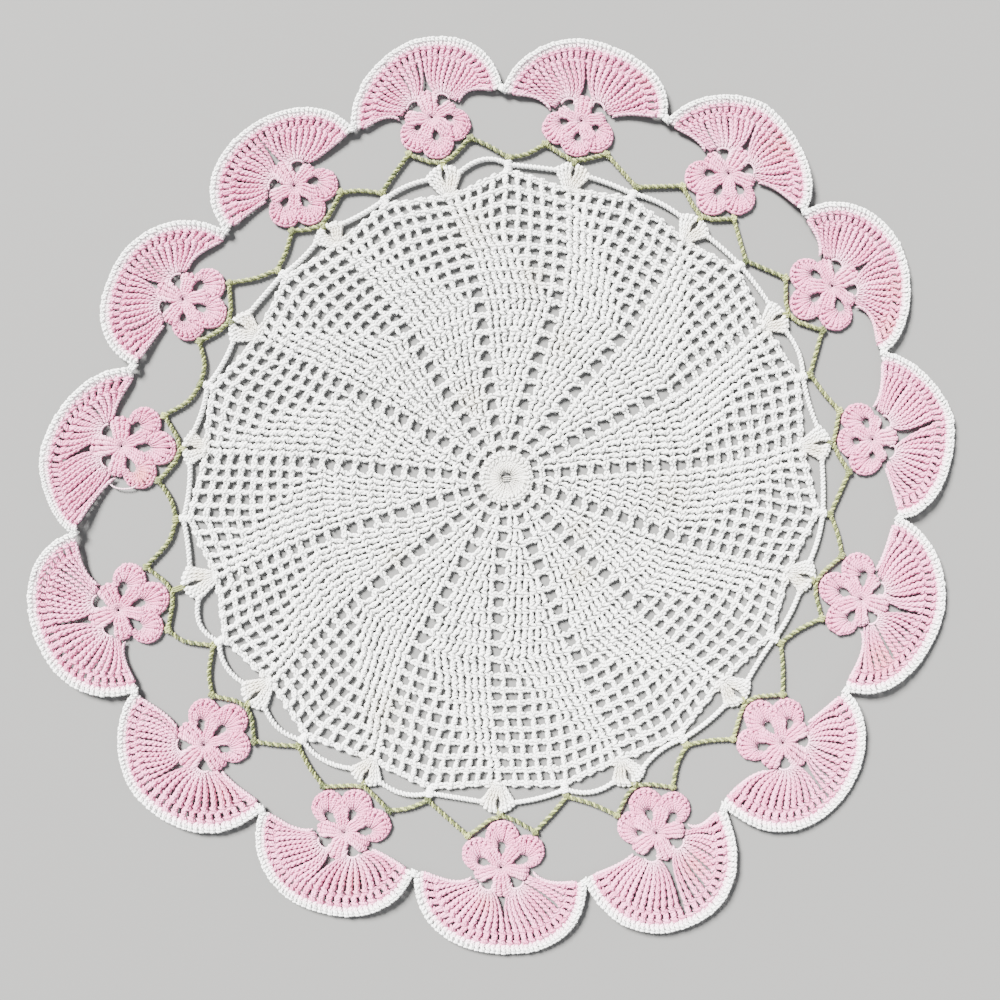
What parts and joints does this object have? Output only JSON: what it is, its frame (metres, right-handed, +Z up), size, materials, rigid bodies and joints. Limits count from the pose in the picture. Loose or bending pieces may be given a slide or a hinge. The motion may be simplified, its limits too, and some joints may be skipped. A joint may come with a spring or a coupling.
{
  "type": "crocheted lace doily",
  "caption": "Round crocheted cotton lace doily: a swirling white centre with fan shells, joined by a green chain to a scalloped border of pink pansies edged in white.",
  "frame": {"origin": "centre of the bounding box at the underside, where the doily lies on its table", "axes": "+Z up out of the table; +X to the right and +Y away from the viewer, as the doily is seen from above"},
  "size_m": [0.38, 0.3767, 0.0052],
  "materials": {
    "white_cotton": "matte off-white mercerised cotton crochet thread, with faint cream stains",
    "pink_cotton": "matte pale pink cotton crochet thread, a little faded and discoloured",
    "green_cotton": "matte olive and cream two-tone cotton crochet thread"
  },
  "bodies": {
    "root": {"white_round": "white_cotton", "green_round": "green_cotton", "pansy_01": "pink_cotton", "pansy_02": "pink_cotton", "pansy_03": "pink_cotton", "pansy_04": "pink_cotton", "pansy_05": "pink_cotton", "pansy_06": "pink_cotton", "pansy_07": "pink_cotton", "pansy_08": "pink_cotton", "pansy_09": "pink_cotton", "pansy_10": "pink_cotton", "pansy_11": "pink_cotton", "pansy_12": "pink_cotton", "pansy_13": "pink_cotton", "pansy_14": "pink_cotton", "pansy_15": "pink_cotton", "edging_01": "white_cotton", "edging_02": "white_cotton", "edging_03": "white_cotton", "edging_04": "white_cotton", "edging_05": "white_cotton", "edging_06": "white_cotton", "edging_07": "white_cotton", "edging_08": "white_cotton", "edging_09": "white_cotton", "edging_10": "white_cotton", "edging_11": "white_cotton", "edging_12": "white_cotton", "edging_13": "white_cotton", "edging_14": "white_cotton", "edging_15": "white_cotton"}
  },
  "joints": []
}
